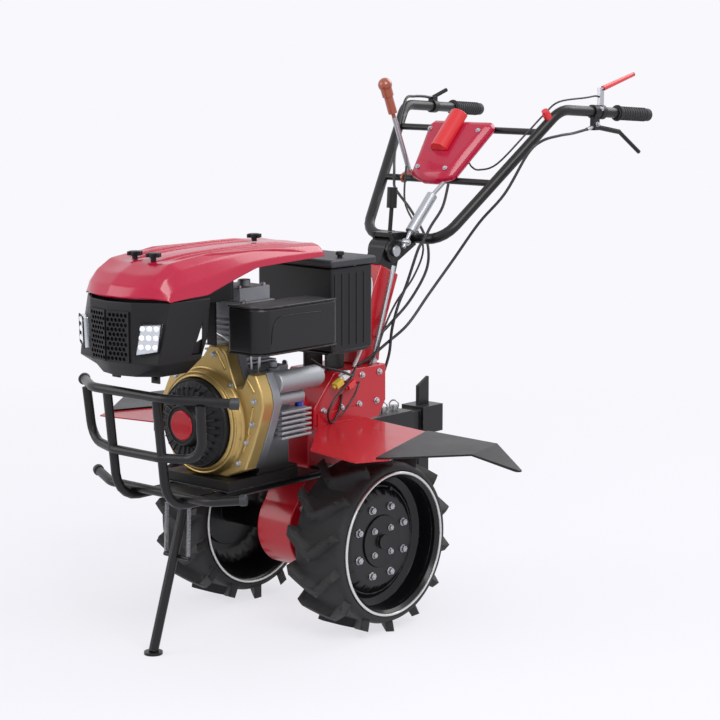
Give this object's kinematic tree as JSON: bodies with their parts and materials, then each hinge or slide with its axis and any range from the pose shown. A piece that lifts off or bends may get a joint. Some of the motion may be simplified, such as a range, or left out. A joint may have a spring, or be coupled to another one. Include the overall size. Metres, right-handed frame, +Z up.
{
  "type": "power weeder",
  "caption": "Two-wheeled walking tractor with a lugged rubber wheel on each side, a hooded engine with lamps, fenders, a front guard and a tall handlebar with levers.",
  "frame": {"origin": "on the ground, in the middle of the machine, straight below the wheels' axle", "axes": "+Z up, -Y towards the lamps and the front guard, +Y towards the grips, +X to the machine's own left"},
  "size_m": [1.216, 1.5542, 1.2068],
  "materials": {
    "red_paint": "gloss paint on cast and pressed metal",
    "black_metal": "satin black paint",
    "gold_paint": "metallic gold paint",
    "cast_alloy": "as cast",
    "bright_steel": "zinc plated",
    "crimson_plastic": "gloss moulding",
    "black_plastic": "matt moulding",
    "grey_plastic": "matt moulding",
    "blue_plastic": "gloss moulding",
    "clear_lens": "clear lens over a bright reflector",
    "tyre_rubber": "lugged rubber",
    "grip_rubber": "moulded rubber"
  },
  "bodies": {
    "chassis": {"gearbox": "red_paint", "clutch_housing": "red_paint", "column": "red_paint", "column_head": "black_metal", "pivot_pin": "bright_steel", "hitch": "black_metal", "drawbar": "black_metal", "hitch_pins": "bright_steel", "bumper": "black_metal", "bed_plate": "black_metal", "stand_bracket": "black_metal", "crankcase": "cast_alloy", "fan_shroud": "gold_paint", "recoil_starter": "black_plastic", "recoil_handle": "black_plastic", "cylinder_block": "cast_alloy", "rocker_cover": "cast_alloy", "air_cleaner": "black_plastic", "muffler_box": "black_metal", "starter_motor": "bright_steel", "finned_cover": "cast_alloy", "oil_cap": "blue_plastic", "fuel_tank": "black_metal", "hood": "crimson_plastic", "hood_knobs": "black_plastic", "grille_housing": "black_plastic", "grille": "black_plastic", "headlamps": "clear_lens", "battery_tray": "black_metal", "battery_box": "black_plastic", "battery_lid": "grey_plastic", "fender_left": "red_paint", "fender_right": "red_paint", "wing_left": "black_plastic", "wing_right": "black_plastic", "shift_rod": "bright_steel"},
    "wheel_left": {"tyre_left": "tyre_rubber", "rim_left": "black_metal", "hub_left": "black_metal"},
    "wheel_right": {"tyre_right": "tyre_rubber", "rim_right": "black_metal", "hub_right": "black_metal"},
    "stand": {"stand_leg": "black_metal", "stand_springs": "bright_steel"},
    "handlebar": {"handle_bar": "black_metal", "handle_bracket": "black_metal", "clamp_lever": "black_plastic", "control_panel": "crimson_plastic", "panel_barrel": "crimson_plastic", "gear_lever": "bright_steel", "shift_sleeve": "bright_steel", "grips": "grip_rubber", "left_levers": "black_metal", "throttle_lever": "black_plastic", "kill_switch": "black_plastic"},
    "depth": {"depth_bar": "black_metal"}
  },
  "joints": [
    {"name": "wheel_left_spin", "type": "hinge", "parent": "chassis", "child": "wheel_left", "pos_m": [0, 0, 0.2], "axis": [1, 0, 0], "continuous": true},
    {"name": "wheel_right_spin", "type": "hinge", "parent": "chassis", "child": "wheel_right", "pos_m": [0, 0, 0.2], "axis": [1, 0, 0], "continuous": true},
    {"name": "stand_swing", "type": "hinge", "parent": "chassis", "child": "stand", "pos_m": [0, -0.363, 0.316], "axis": [1, 0, 0], "range_deg": [0, 60], "deforming": ["stand_springs"]},
    {"name": "handlebar_tilt", "type": "hinge", "parent": "chassis", "child": "handlebar", "pos_m": [0, 0.289, 0.803], "axis": [1, 0, 0], "range_deg": [-12, 12]},
    {"name": "depth_slide", "type": "slide", "parent": "chassis", "child": "depth", "axis": [0, 0, 1], "range_m": [-0.05, 0.1]}
  ]
}
